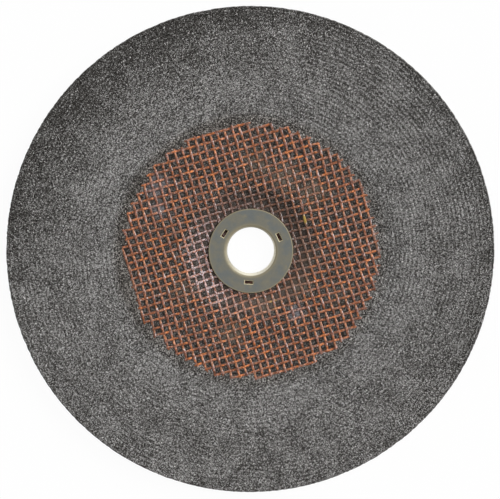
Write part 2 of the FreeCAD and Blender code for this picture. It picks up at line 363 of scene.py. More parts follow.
def build_abrasive(dish, abrasive, cloth):
    """Surface of revolution of the section, with moulded ripples and grit.

    A ring's height on the outer face gets a cosine of its radius, one turn for each ripple.
    Each point is then moved by a random draw: up or down by the grit's height, which neighbours
    round the ring share in part, and a little along and across the ring. The rim's wall is worn
    in by the size of one more draw, the same all the way down.
    """
    draw = np.random.default_rng(abrasive.seed)
    worn = abrasive.rim_wear * np.abs(np.random.default_rng(abrasive.seed + 1).normal(0, 1, FINE))
    section, counts, rough = body_section(dish, abrasive)
    on_face = (section[:, 0] > dish.bed_radius + BED_SLOPE / 2) & (section[:, 1] >= FACE_HEIGHT)
    on_face &= section[:, 0] < RIM_RADIUS - RIM_BEVEL
    wave = on_face * np.cos(TAU * (section[:, 0] - RIM_RADIUS) / abrasive.ripple_pitch)
    firsts = np.concatenate([[0], np.cumsum(counts)[:-1]])
    points = []
    for (radius, height), count, roughness, rise in zip(section, counts, rough, wave):
        angle = TAU * np.arange(count) / count
        spread = roughness * abrasive.grit_height
        strength = RIPPLE_MEAN + RIPPLE_SWING * np.cos(angle - RIPPLES_STRONGEST)
        height = height + abrasive.ripple_height * rise * strength - RIPPLE_SINK * (rise != 0)
        own, shared = draw.normal(0, 1, count), shared_round(draw.normal(0, 1, count))
        lift = own * OWN_LIFT + shared * SHARED_LIFT
        shift = draw.normal(0, OUTWARD_SPREAD, count) * spread
        angle = angle + draw.normal(0, ROUND_SPREAD, count) * (roughness > 0) * TAU / count
        up = np.clip(lift, LOWEST_LIFT, HIGHEST_LIFT) * spread
        on_wall = radius > RIM_RADIUS - 0.5 * MM
        reach = radius + (np.minimum(up, 0) * WALL_LIFT - worn if on_wall else shift)
        level = height + (0 if on_wall else up)
        points.append(np.stack([reach * np.cos(angle), reach * np.sin(angle), level], axis=1))
    points = np.concatenate(points)
    points[:, 2] = np.clip(points[:, 2], 0, FACE_HEIGHT + 0.2 * MM)
    quads, triangles = [], []
    total = len(counts)
    for i in range(total):
        j = (i + 1) % total
        four, three = ring_faces(firsts[i], counts[i], firsts[j], counts[j])
        if four is not None:
            quads.append(four)
        else:
            triangles.append(three)
    body = new_piece("abrasive_body", points, quads, triangles)
    for label, values in zip(("warp_number", "weft_number"), weave_numbers(points, cloth)):
        add_attribute(body, label, values)
    return body


# Glass-fibre cloth

SIDES = 10
STEP = 0.6 * MM

# Where the cloth was drawn out of line: place, shift along weft and warp, reach
PULLS = (
    ((-46, -10), (0.5, -0.2), 20),
    ((32, 10), (-0.9, -0.3), 18),
    ((34, 46), (0.6, 0.0), 22),
    ((48, -32), (0.6, -0.5), 22),
    ((-20, -42), (-0.2, -0.6), 20),
    ((-10, 32), (0.0, -0.45), 16),
    ((-48, 18), (-0.4, 0.4), 16),
    ((57, 2), (-0.2, -1.0), 16),
    ((24, -20), (-0.2, 0.6), 14),
    ((-54, -10), (0.0, -0.35), 14),
    ((-4, -44), (-0.1, -0.35), 14),
    ((38, 26), (-0.1, -0.4), 14),
)
WHOLE_SHIFT = (0.25 * MM, 0.0)
FRAYED_WEFTS = 10
SHORTEST_STRAND = 3 * MM
# Stubs past the last crossing, in pitches: mean and spread, range, and more at a frayed end
STUB_DRAW, STUB_RANGE, FRAY_RANGE = (0.26, 0.09), (0.05, 0.45), (0.2, 0.5)
# A strand's sway: two reaches with their turns to a pitch, and how loose its end lies
SLOW_SWAY, QUICK_SWAY = (0.10 * MM, 0.55), (0.06 * MM, 1.7)
LOOSE_SPREAD, LOOSE_REACH = 0.35, 1.6 * MM
# How its width and thickness vary, and how it tapers at its end
WIDTH_WAVE, WIDTH_SPREAD, THICKNESS_SPREAD = (0.05, 2.3), 0.025, 0.06
TAPER_SHARE, TAPER_REACH = 0.35, 0.5 * MM
WARP_SWELLING, WEFT_SWELLING = 0.16, 0.03


def weave_ways(cloth):
    """Unit directions of the weft and the warp."""
    cos, sin = math.cos(cloth.turn), math.sin(cloth.turn)
    return np.array([cos, sin]), np.array([-sin, cos])


def weave_pull(plan, cloth):
    """Shift of the weave at each place in plan.

    The whole cloth lies a little off centre. Each pull adds a shift that fades from its own
    place as exp(-(distance / reach) squared).
    """
    weft_way, warp_way = weave_ways(cloth)
    shift = np.tile(WHOLE_SHIFT[0] * weft_way + WHOLE_SHIFT[1] * warp_way, (len(plan), 1))
    for place, (along_weft, along_warp), reach in PULLS:
        distance = np.linalg.norm(plan - np.array(place) * MM, axis=1) / (reach * MM)
        fade = np.exp(-distance**2)[:, None]
        shift += fade * (along_weft * weft_way + along_warp * warp_way) * MM
    return shift


def weave_numbers(points, cloth):
    """Which warp and which weft strand each point is nearest to, as running numbers."""
    weft_way, warp_way = weave_ways(cloth)
    plan = points[:, :2] - weave_pull(points[:, :2], cloth)
    return plan @ weft_way / cloth.warp_pitch, plan @ warp_way / cloth.weft_pitch


def chord_ends(start, along, radius):
    """Where the line start + value times along crosses the circle of that radius, or None."""
    a = along @ along
    b = start @ along
    inside = b * b - a * (start @ start - radius * radius)
    if inside <= 0:
        return None
    root = math.sqrt(inside)
    return (-b - root) / a, (-b + root) / a


def strand_spans(start, along, frayed, cloth, draw):
    """Spans of one strand between the cut edge and the hole, as pairs of values along it.

    A strand ends a little past its last crossing, and further past it at a frayed end.
    """
    outer = chord_ends(start, along, cloth.cut_radius)
    if outer is None:
        return []
    pitch = math.sqrt(along @ along)
    stub = np.clip(draw.normal(*STUB_DRAW, 2), *STUB_RANGE)
    stub[1] += frayed * draw.uniform(*FRAY_RANGE)
    low, high = math.ceil(outer[0]), math.floor(outer[1])
    low -= min(low - outer[0], stub[0])
    high += min(outer[1] - high, stub[1])
    if (high - low) * pitch < SHORTEST_STRAND:
        return []
    inner = chord_ends(start, along, cloth.hole_radius)
    if inner is None:
        return [(low, high)]
    return [(low, inner[0]), (inner[1], high)]


def strand_tube(start, along, span, parity, sign, width, swelling, dish, cloth, draw):
    """One strand as a flat tube carried along the weave's line.

    The line is straight in plan, but for the weave's pulls and a slow sway. It lies on the
    dished face and rises and dips by a cosine that turns over at each crossing. The section is
    a flattened oval whose width swells where the strand is on top, laid square to the face.
    """
    pitch = math.sqrt(along @ along)
    count = max(6, int(math.ceil((span[1] - span[0]) * pitch / STEP)) + 1)
    value = np.linspace(span[0], span[1], count)
    sideways = np.array([-along[1], along[0]]) / pitch
    sway_phase = draw.uniform(0, TAU, 2)
    slow, quick = (
        reach * np.sin(value * turns + phase)
        for (reach, turns), phase in zip((SLOW_SWAY, QUICK_SWAY), sway_phase)
    )
    from_end = np.minimum(value - span[0], span[1] - value) * pitch
    loose = np.exp(-from_end / LOOSE_REACH)
    sway = slow + quick + loose * draw.normal(0, LOOSE_SPREAD) * MM
    plan = start + value[:, None] * along + sway[:, None] * sideways
    plan += weave_pull(plan, cloth)
    crest = sign * parity * np.cos(math.pi * value)
    climb = -sign * parity * np.sin(math.pi * value)
    radius = np.hypot(plan[:, 0], plan[:, 1])
    drop = cloth.sink - cloth.wave_height * crest
    height = dish_height(radius, drop, dish)
    centre = np.column_stack([plan, height])
    tangent = unit(np.gradient(centre, axis=0))
    normal = dish_normal(plan[:, 0], plan[:, 1], 0.0, dish)
    across = unit(np.cross(normal, tangent))
    up = np.cross(tangent, across)
    uneven = draw.normal(0, WIDTH_SPREAD, count)
    wave = WIDTH_WAVE[0] * np.sin(value * WIDTH_WAVE[1] + sway_phase[1])
    swell = 1 + swelling * crest + wave + uneven
    taper = 1 - TAPER_SHARE * np.exp(-from_end / TAPER_REACH)
    half_width = width / 2 * swell * taper
    flatness = 1.0 + THICKNESS_SPREAD * draw.normal(0, 1, count)
    half_height = cloth.strand_thickness / 2 * flatness * taper
    turn = TAU * (np.arange(SIDES) + 0.5) / SIDES
    points = (
        centre[:, None, :]
        + (half_width[:, None] * np.cos(turn))[:, :, None] * across[:, None, :]
        + (half_height[:, None] * np.sin(turn))[:, :, None] * up[:, None, :]
    )
    return points, value * pitch, crest, climb


def tube_faces(first, count):
    """Quads between the rings of one tube and the two end faces."""
    i = np.arange(count - 1)[:, None]
    j = np.arange(SIDES)[None, :]
    k = (j + 1) % SIDES
    a, b = first + i * SIDES + j, first + i * SIDES + k
    quads = np.stack([a, b, b + SIDES, a + SIDES], axis=-1).reshape(-1, 4)
    start_cap = first + np.arange(SIDES)[::-1]
    end_cap = first + (count - 1) * SIDES + np.arange(SIDES)
    return quads, start_cap, end_cap


def build_strands(name, along_warp, width, dish, cloth, seed):
    """All strands of one direction as one mesh, with its own map and strand attributes."""
    draw = np.random.default_rng(seed)
    weft_way, warp_way = weave_ways(cloth)
    along, across = warp_way * cloth.weft_pitch, weft_way * cloth.warp_pitch
    sign, swelling = 1.0, WARP_SWELLING
    if not along_warp:
        along, across = across, along
        sign, swelling = -1.0, WEFT_SWELLING
    reach = int(cloth.cut_radius / math.sqrt(across @ across)) + 1
    points, quads, caps, maps, crests, climbs, tints = [], [], [], [], [], [], []
    first = 0
    for number in range(-reach, reach + 1):
        start = across * (number + draw.normal(0, 0.02))
        frayed = not along_warp and abs(number) < FRAYED_WEFTS
        for span in strand_spans(start, along, frayed, cloth, draw):
            parity = 1.0 if number % 2 == 0 else -1.0
            tube, distance, crest, climb = strand_tube(
                start, along, span, parity, sign, width, swelling, dish, cloth, draw
            )
            count = len(distance)
            four, start_cap, end_cap = tube_faces(first, count)
            points.append(tube.reshape(-1, 3))
            quads.append(four)
            caps += [start_cap, end_cap]
            near, far = distance[:-1], distance[1:]
            lengthwise = np.stack([near, near, far, far], axis=1)
            around = np.arange(SIDES) / SIDES
            crosswise = np.stack([around, around + 1 / SIDES, around + 1 / SIDES, around], axis=1)
            corner = np.empty((count - 1, SIDES, 4, 2))
            corner[..., 0] = (lengthwise / (10 * MM))[:, None, :] + number * 3.7
            corner[..., 1] = crosswise[None, :, :]
            maps.append(corner.reshape(-1, 2))
            crests.append(np.repeat(crest, SIDES))
            climbs.append(np.repeat(climb, SIDES))
            tint = draw.uniform(0, 1) + 0.3 * np.sin(distance / (9 * MM) + draw.uniform(0, TAU))
            tints.append(np.repeat(tint, SIDES))
            first += count * SIDES
    piece = new_piece(name, np.concatenate(points), quads, [np.array(caps)])
    layer = piece.data.uv_layers.new(name="strand")
    flat_map = np.concatenate(maps + [np.zeros((len(caps) * SIDES, 2))])
    layer.data.foreach_set("uv", flat_map.ravel())
    for label, parts in (("crest", crests), ("climb", climbs), ("tint", tints)):
        add_attribute(piece, label, np.concatenate(parts))
    return piece


# Material helpers

# A mix node has sockets of each kind; these are the ones for colours
COLOR_A, COLOR_B, MIXED_COLOR = 6, 7, 2


class Nodes:
    """Short calls to place and join the nodes of one tree."""

    def __init__(self, tree):
        self.tree = tree
        tree.nodes.clear()

    def add(self, kind, settings=None, **inputs):
        node = self.tree.nodes.new(kind)
        for name, value in (settings or {}).items():
            setattr(node, name, value)
        for name, value in inputs.items():
            self.feed(node.inputs[name.replace("_", " ")], value)
        return node

    def feed(self, socket, value):
        """Joins a socket to the input or sets its value; colours are red, green and blue."""
        if isinstance(value, bpy.types.NodeSocket):
            self.tree.links.new(value, socket)
        elif socket.type == "RGBA":
            socket.default_value = (*value, 1.0)
        else:
            socket.default_value = value

    def math(self, operation, *values):
        node = self.add("ShaderNodeMath", {"operation": operation})
        for socket, value in zip(node.inputs, values):
            self.feed(socket, value)
        return node.outputs[0]

    def times(self, product, *factors):
        """The product of all the values."""
        for factor in factors:
            product = self.math("MULTIPLY", product, factor)
        return product

    def sum(self, total, *terms):
        """Adds each term, a value and its weight, to the total."""
        for value, weight in terms:
            total = self.math("MULTIPLY_ADD", value, weight, total)
        return total

    def span(self, value, low, high, to_low=0.0, to_high=1.0):
        """Maps low to high onto another span, smoothly and clamped."""
        return self.add(
            "ShaderNodeMapRange", {"interpolation_type": "SMOOTHSTEP"},
            Value=value, From_Min=low, From_Max=high, To_Min=to_low, To_Max=to_high,
        ).outputs["Result"]

    def mix(self, share, first, second, blend="MIX"):
        node = self.add("ShaderNodeMix", {"data_type": "RGBA", "blend_type": blend}, Factor=share)
        self.feed(node.inputs[COLOR_A], first)
        self.feed(node.inputs[COLOR_B], second)
        return node.outputs[MIXED_COLOR]

    def coats(self, base, *coats):
        """Mixes coats over the base, one after another; a coat is its share and its colour."""
        for share, color in coats:
            base = self.mix(share, base, color)
        return base

    def vector(self, operation, first, second=None):
        node = self.add("ShaderNodeVectorMath", {"operation": operation})
        self.feed(node.inputs[0], first)
        if second is not None:
            self.feed(node.inputs[1], second)
        return node.outputs["Value"] if operation in ("LENGTH", "DOT_PRODUCT") else node.outputs[0]

    def apart(self, vector):
        return self.add("ShaderNodeSeparateXYZ", Vector=vector).outputs

    def joined(self, **parts):
        return self.add("ShaderNodeCombineXYZ", **parts).outputs[0]

    def attribute(self, label):
        return self.add("ShaderNodeAttribute", {"attribute_name": label}).outputs["Fac"]

    def noise(self, vector, scale, detail=2.0, roughness=0.5):
        return self.add(
            "ShaderNodeTexNoise", Vector=vector, Scale=scale, Detail=detail, Roughness=roughness
        ).outputs["Fac"]

    def cells(self, vector, scale, randomness=1.0):
        return self.add("ShaderNodeTexVoronoi", Vector=vector, Scale=scale, Randomness=randomness)

    def drawn(self, cells, channel):
        """A random value for each cell; the three channels give different ones."""
        return self.add("ShaderNodeSeparateColor", Color=cells.outputs["Color"]).outputs[channel]


def new_group(name, sockets_in, sockets_out):
    """An empty node group with named sockets; returns its helper, inputs and output node."""
    tree = bpy.data.node_groups.new(name, "ShaderNodeTree")
    for label, kind, value in sockets_in:
        socket = tree.interface.new_socket(label, in_out="INPUT", socket_type=f"NodeSocket{kind}")
        if value is not None:
            socket.default_value = value
    for label, kind in sockets_out:
        tree.interface.new_socket(label, in_out="OUTPUT", socket_type=f"NodeSocket{kind}")
    nodes = Nodes(tree)
    given = nodes.add("NodeGroupInput")
    result = nodes.add("NodeGroupOutput")
    return nodes, given.outputs, result.inputs


# How much a knob's edge is darker than its middle, what evens that out, and the mean distance
KNOB_SHADE, KNOB_LIFT, MEAN_GAP = 0.46, 0.2135, 0.464
KNOB_TURN, KNOB_HEIGHT_SCALE = 0.5, 0.295


def grit_group(name):
    """Broken grains: two sizes of cells with a random brightness each, on coarser knobs.

    The knobs are fairly even cells, turned a little and drawn out in height. Brightness falls
    with the distance from a knob's middle, which is put out as Gaps. A share of another size
    of cells are pits, and a few knobs have a speck in their middle.
    """
    nodes, given, result = new_group(
        name,
        (("Vector", "Vector", None), ("Grain Size", "Float", 0.0006), ("Pit Share", "Float", 0.18)),
        [(label, "Float") for label in ("Brightness", "Pits", "Specks", "Height", "Gaps")],
    )
    place = given["Vector"]
    scale = nodes.math("DIVIDE", 1.0, given["Grain Size"])
    coarse = nodes.cells(place, scale)
    fine = nodes.cells(place, nodes.times(scale, 1.9))
    coarse_value = nodes.drawn(coarse, 0)
    cloud = nodes.noise(place, nodes.times(scale, 0.12), 3.0, 0.6)
    both = nodes.sum(nodes.times(nodes.drawn(fine, 1), 0.2), (coarse_value, 0.8))
    clouded = nodes.math("ADD", both, nodes.sum(-0.06, (cloud, 0.12)))
    turned = nodes.add(
        "ShaderNodeVectorRotate", {"rotation_type": "Z_AXIS"}, Vector=place, Angle=KNOB_TURN
    ).outputs[0]
    drawn_out = nodes.vector("MULTIPLY", turned, (1.0, 1.0, KNOB_HEIGHT_SCALE))
    knobs = nodes.cells(drawn_out, nodes.times(scale, 0.1957), 0.8)
    away = knobs.outputs["Distance"]
    nodes.feed(
        result["Brightness"], nodes.sum(nodes.math("ADD", clouded, KNOB_LIFT), (away, -KNOB_SHADE))
    )
    nodes.feed(result["Gaps"], away)
    pit_cells = nodes.cells(place, nodes.times(scale, 0.32))
    near = nodes.span(pit_cells.outputs["Distance"], 0.65, 0.5)
    first_pit = nodes.math("SUBTRACT", 1.0, given["Pit Share"])
    chosen = nodes.span(nodes.drawn(pit_cells, 2), first_pit, nodes.math("ADD", first_pit, 0.05))
    pits = nodes.times(near, chosen)
    nodes.feed(result["Pits"], pits)
    rare = nodes.span(nodes.drawn(knobs, 0), 0.965, 0.975)
    nodes.feed(result["Specks"], nodes.times(rare, nodes.span(away, 0.4, 0.25)))
    bumps = nodes.math("SUBTRACT", 1.0, coarse.outputs["Distance"])
    small = nodes.math("SUBTRACT", 1.0, fine.outputs["Distance"])
    height = nodes.math("ADD", nodes.sum(bumps, (small, 0.5)), nodes.times(coarse_value, 0.6))
    nodes.feed(result["Height"], nodes.sum(height, (pits, -1.2)))
    return nodes.tree


def mottle_group(name):
    """Broad cloudy variation between two values."""
    nodes, given, result = new_group(
        name,
        (("Vector", "Vector", None), ("Patch Size", "Float", 0.02), ("Low", "Float", 0.0),
         ("High", "Float", 1.0)),
        (("Value", "Float"),),
    )
    cloud = nodes.noise(given["Vector"], nodes.math("DIVIDE", 1.0, given["Patch Size"]), 4.0, 0.55)
    nodes.feed(result["Value"], nodes.span(cloud, 0.35, 0.65, given["Low"], given["High"]))
    return nodes.tree


# Patches of old dust and soot on the cloth: place, reach, colour, share
OLIVE, CHALK, SOOT = (0.24, 0.185, 0.13), (0.63, 0.61, 0.68), (0.05, 0.03, 0.022)
STAINS = (
    ((3, 41), 10, OLIVE, 0.6),
    ((16, 35), 11, OLIVE, 0.6),
    ((29, 28), 11, OLIVE, 0.65),
    ((-9, -38), 10, OLIVE, 0.6),
    ((-32, -18), 10, OLIVE, 0.45),
    ((6, -25), 7, OLIVE, 0.6),
    ((24, -17), 9, OLIVE, 0.65),
    ((28, -4), 7, OLIVE, 0.5),
    ((42, -22), 8, OLIVE, 0.25),
    ((-44, 31), 8, CHALK, 0.4),
    ((-43, 20), 6, CHALK, 0.3),
    ((21, -29), 6, CHALK, 0.4),
    ((-10, 26), 8, SOOT, 0.35),
)
IN_PLAN = (1.0, 1.0, 0.0)


def stain_group(name):
    """Soft round patches, each mixed over the given colour about its own place."""
    nodes, given, result = new_group(
        name,
        (("Vector", "Vector", None), ("Color", "Color", None), ("Share", "Float", 1.0)),
        (("Color", "Color"),),
    )
    color = given["Color"]
    broken = nodes.span(nodes.noise(given["Vector"], 260.0, 3.0), 0.35, 0.6, 0.45, 1.0)
    share_here = nodes.times(broken, given["Share"])
    for (right, up), reach, stain, share in STAINS:
        away = nodes.vector("SUBTRACT", given["Vector"], (right * MM, up * MM, 0.0))
        away = nodes.vector("LENGTH", nodes.vector("MULTIPLY", away, IN_PLAN))
        patch = nodes.times(nodes.span(away, reach * MM, 0.0, 0.0, share), share_here)
        color = nodes.mix(patch, color, stain)
    nodes.feed(result["Color"], color)
    return nodes.tree


GROUPS = {"Grit": grit_group, "Mottle": mottle_group, "Stains": stain_group}


def place_group(nodes, name, **inputs):
    """Places a group in a material with its own values; it is built on its first use."""
    group = bpy.data.node_groups.get(name) or GROUPS[name](name)
    return nodes.add("ShaderNodeGroup", {"node_tree": group}, **inputs).outputs


def new_material(name):
    """A material with an empty tree and its helper."""
    material = bpy.data.materials.new(name)
    material.use_nodes = True
    return material, Nodes(material.node_tree)


def finish_material(nodes, color, roughness, height, relief, **constants):
    """Joins colour, roughness and height to one Principled shader."""
    shader = nodes.add(
        "ShaderNodeBsdfPrincipled", Base_Color=color, Roughness=roughness, **constants
    )
    bump = nodes.add("ShaderNodeBump", Strength=1.0, Distance=relief, Height=height)
    nodes.feed(shader.inputs["Normal"], bump.outputs["Normal"])
    nodes.add("ShaderNodeOutputMaterial", Surface=shader.outputs["BSDF"])


def scaled(color, factor):
    """A colour made darker or lighter by a factor."""
    return [factor * value for value in color]


# Finishes


class Ground:
    """Where a point lies: its place, and its distance and direction from the bore's axis."""

    def __init__(self, nodes):
        self.nodes = nodes
        self.place = nodes.add("ShaderNodeTexCoord").outputs["Object"]
        self.flat = nodes.vector("MULTIPLY", self.place, IN_PLAN)
        self.radius = nodes.vector("LENGTH", self.flat)

    def out(self, low, high, to_low=0.0, to_high=1.0):
        """Maps one radius to another, in millimetres, onto another span."""
        return self.nodes.span(self.radius, low * MM, high * MM, to_low, to_high)

    def towards(self, azimuth):
        """1 where a point lies in the given direction from the axis, 0 on the other side."""
        heading = self.nodes.vector("NORMALIZE", self.flat)
        aim = (math.cos(math.radians(azimuth)), math.sin(math.radians(azimuth)), 0.0)
        return self.nodes.sum(0.5, (self.nodes.vector("DOT_PRODUCT", heading, aim), 0.5))

    def zone(self, azimuth, sharpness, full, none):
        """1 in one direction at the full radius, fading round and to the none radius."""
        side = self.nodes.span(self.towards(azimuth), sharpness, 1.0)
        return self.nodes.times(side, self.out(none, full))

    def warmed(self):
        """1 beside the ring where light falls back on the cloth."""
        return self.nodes.times(self.zone(318.0, 0.45, 25, 33), self.out(22.5, 24.5))

    def under_flange(self, share=1.0):
        """The share under the flange and in its shadow, 0 farther out."""
        low, high = FLANGE_RADIUS + 0.3 * MM, FLANGE_RADIUS - 0.5 * MM
        return self.nodes.span(self.radius, low, high, 0.0, share)


def strand_gap(nodes, cloth):
    """Distance to the nearest strand's line, and 1 where the whole opening lies in the cut.

    The numbers that run across the weave give both: the nearest strand is the nearest whole
    number, and the opening's far corner is at the next whole numbers away from the middle.
    """
    gaps, far = [], []
    for label, pitch in (("warp_number", cloth.warp_pitch), ("weft_number", cloth.weft_pitch)):
        number = nodes.attribute(label)
        off = nodes.math("SUBTRACT", number, nodes.math("ROUND", number))
        gaps.append(nodes.times(nodes.math("ABSOLUTE", off), pitch))
        next_one = nodes.math("CEIL", nodes.math("SUBTRACT", nodes.math("ABSOLUTE", number), 0.1))
        far.append(nodes.times(next_one, pitch))
    corner = nodes.vector("LENGTH", nodes.joined(X=far[0], Y=far[1]))
    return nodes.math("MINIMUM", *gaps), nodes.math("LESS_THAN", corner, cloth.cut_radius)


# How much the ripples and the streaks swept round the disc change the grit's brightness
RIPPLE_SHADE, STREAK_SHADE = 0.025, 0.22
STREAK_WIDTH, STREAKS_ROUND = 0.9 * MM, 28.0
SPECK, HALO_TINT, OLD_RESIN = (0.80, 0.79, 0.78), (1.0, 0.95, 0.90), (0.085, 0.058, 0.046)
WARM_GRIT, SHADED_GRIT = (0.22, 0.16, 0.13), (0.03, 0.014, 0.009)


def abrasive_material(dish, abrasive, cloth):
    """Grey grit in dark resin: pitted at the rim and the cloth's edge, dark along the strands from
    resin and painted shade.

    The ripples' crests are a little lighter: partly worn grain, partly painted light that adds
    to the ripples' shading, most on the key light's side. Only the front has the cloth's openings
    and the halo round them, and the rim's wall has no knobs.
    """
    material, nodes = new_material("bonded_abrasive")
    here = Ground(nodes)
    place, radius = here.place, here.radius
    apart = nodes.apart(place)
    front = nodes.math("GREATER_THAN", apart["Z"], FACE_HEIGHT - dish.thickness + 0.5 * MM)
    cloud = place_group(nodes, "Mottle", Vector=place, Patch_Size=12 * MM, Low=-1.0)["Value"]
    rim = here.zone(137.0, 0.7, 105, 81)
    edge = here.zone(65.0, 0.0, 115, 99)
    inner = here.zone(0.0, 0.35, 64, 84)
    bed = dish.bed_radius
    # A dark band just outside the cloth's edge, strongest towards 150 degrees: more pits and a
    # warmer, darker tone, partly painted shade along the edge
    halo = nodes.times(
        nodes.span(radius, bed - 4.5 * MM, bed - 2.0 * MM),
        nodes.span(radius, bed + 6.0 * MM, bed + 0.6 * MM),
        nodes.span(here.towards(150.0), 0.3, 1.0, 0.45, 1.0),
        front,
    )
    share = nodes.sum(0.12, (cloud, -0.05), (rim, 0.14), (edge, 0.10), (halo, 0.25))
    grit = place_group(
        nodes, "Grit", Vector=place, Grain_Size=abrasive.grain_size, Pit_Share=share
    )

    inwards = nodes.math("SUBTRACT", radius, RIM_RADIUS)
    turns = nodes.math("DIVIDE", inwards, abrasive.ripple_pitch / TAU)
    # Painted light on the ripples, partly worn grain: crests lighter, far more so towards the key
    # light at 32 degrees
    crests = nodes.times(nodes.math("COSINE", turns), here.out(61, 64))
    clear = nodes.span(nodes.noise(place, 45.0, 1.0), 0.4, 0.6, 0.5, 1.9)
    clear = nodes.sum(clear, (here.zone(32.0, 0.8, 100, 80), 1.3))
    level = nodes.sum(grit["Brightness"], (nodes.times(crests, clear), RIPPLE_SHADE))
    swept = nodes.joined(
        X=nodes.math("DIVIDE", radius, STREAK_WIDTH),
        Y=nodes.times(nodes.math("ARCTAN2", apart["Y"], apart["X"]), STREAKS_ROUND),
        Z=nodes.math("DIVIDE", apart["Z"], STREAK_WIDTH),
    )
    level = nodes.math("ADD", level, -STREAK_SHADE / 2)
    level = nodes.sum(level, (nodes.noise(swept, 1.0, 1.0), STREAK_SHADE))
    wall = nodes.times(
        nodes.span(radius, RIM_RADIUS - 1.2 * MM, RIM_RADIUS - 0.8 * MM),
        nodes.span(apart["Z"], FACE_HEIGHT - 0.3 * MM, FACE_HEIGHT - 0.8 * MM),
    )
    knobs = nodes.sum(-KNOB_LIFT, (grit["Gaps"], KNOB_SHADE))
    level = nodes.sum(
        level, (knobs, wall), (cloud, 0.035), (rim, -0.07), (edge, -0.05),
        (here.out(76, 92), -0.03), (inner, -0.01), (halo, -0.09), (here.out(106, 113), -0.015),
    )

    base = nodes.coats(
        nodes.mix(nodes.span(level, 0.3, 0.5), abrasive.dark, abrasive.grey),
        (nodes.span(level, 0.61, 0.82), abrasive.light),
        (grit["Pits"], scaled(abrasive.dark, 0.5)),
        (nodes.times(grit["Specks"], 0.6), SPECK),
    )
    base = nodes.mix(halo, base, HALO_TINT, "MULTIPLY")

    gap, covered = strand_gap(nodes, cloth)
    away = nodes.math("SUBTRACT", grit["Gaps"], MEAN_GAP)
    deep = nodes.sum(level, (away, here.out(23, 32, -0.2, -0.9)))
    stained = nodes.mix(nodes.span(deep, 0.52, 0.82), abrasive.dark, abrasive.resin)
    stained = nodes.mix(here.out(31, 22, 0.0, 0.35), stained, OLD_RESIN)
    stained = place_group(nodes, "Stains", Vector=place, Color=stained, Share=0.6)["Color"]
    stained = nodes.coats(
        stained,
        # Painted shade, partly resin, along the strands' edges in each opening
        (nodes.span(gap, 1.0 * MM, 0.65 * MM, 0.0, 0.7), abrasive.resin_and_strand_shade),
        (nodes.times(here.warmed(), 0.2), WARM_GRIT),
        (here.under_flange(0.9), SHADED_GRIT),
    )
    base = nodes.mix(nodes.times(covered, front), base, stained)
    finish_material(nodes, base, 0.85, grit["Height"], 0.08 * MM, Specular_IOR_Level=0.25)
    return material


# Areas of the cloth: direction, sharpness, radii where it is full and where it ends; share, colour
CLOTH_AREAS = (
    ((55.0, 0.45, 23, 36), 0.6, (0.22, 0.14, 0.09)),
    # Painted shade in the hollow beside the flange, where the slope keeps the light off
    ((45.0, 0.35, 21.5, 24.5), 0.75, (0.045, 0.027, 0.018)),
    ((125.0, 0.75, 23, 33), 0.6, (0.13, 0.08, 0.07)),
    ((5.0, 0.75, 60.8, 58.8), 0.7, (0.12, 0.048, 0.026)),
)
TINTED, DULL_BY_RING, GLINT_WHITE = (0.20, 0.10, 0.05), (0.23, 0.115, 0.085), (0.85, 0.82, 0.87)
PALE_SPECK, SLOPE_HIGHLIGHT, YELLOW = (0.75, 0.72, 0.70), (0.74, 0.73, 0.82), (0.50, 0.34, 0.06)
WARM_STRAND, SHADED_STRAND = (0.60, 0.40, 0.30), (0.03, 0.010, 0.005)

# Painted light and shade on the stretches that climb or fall: shadow, light, and a pale that is
# partly dust. Each direction's looks: shares of the worn crests and of the painted highlight on
# the lit side, which side is lit, its stretches, the place of its yellow thread
SLOPE_SHADOW, SLOPE_LIGHT, PALE_DUST_AND_LIGHT = (0.09, 0.032, 0.012), (0.82, 0.36, 0.17), (0.34, 0.23, 0.18)
WARP_SLOPES = ((1.0, 0.5, (0.5, 1.1), 0.3, SLOPE_SHADOW), (-1.0, 0.2, (0.3, 0.95), 0.55, SLOPE_LIGHT))
WEFT_SLOPES = ((1.0, 0.5, (0.3, 1.1), 0.5, PALE_DUST_AND_LIGHT), (-1.0, 2.0, (1.75, 2.1), 0.75, SLOPE_SHADOW))
WARP_LOOKS = (0.75, 1.0, -1.0, WARP_SLOPES, (25.2 * MM, 15.2 * MM))
WEFT_LOOKS = (0.15, 0.3, 1.0, WEFT_SLOPES, (10.8 * MM, -25.0 * MM))


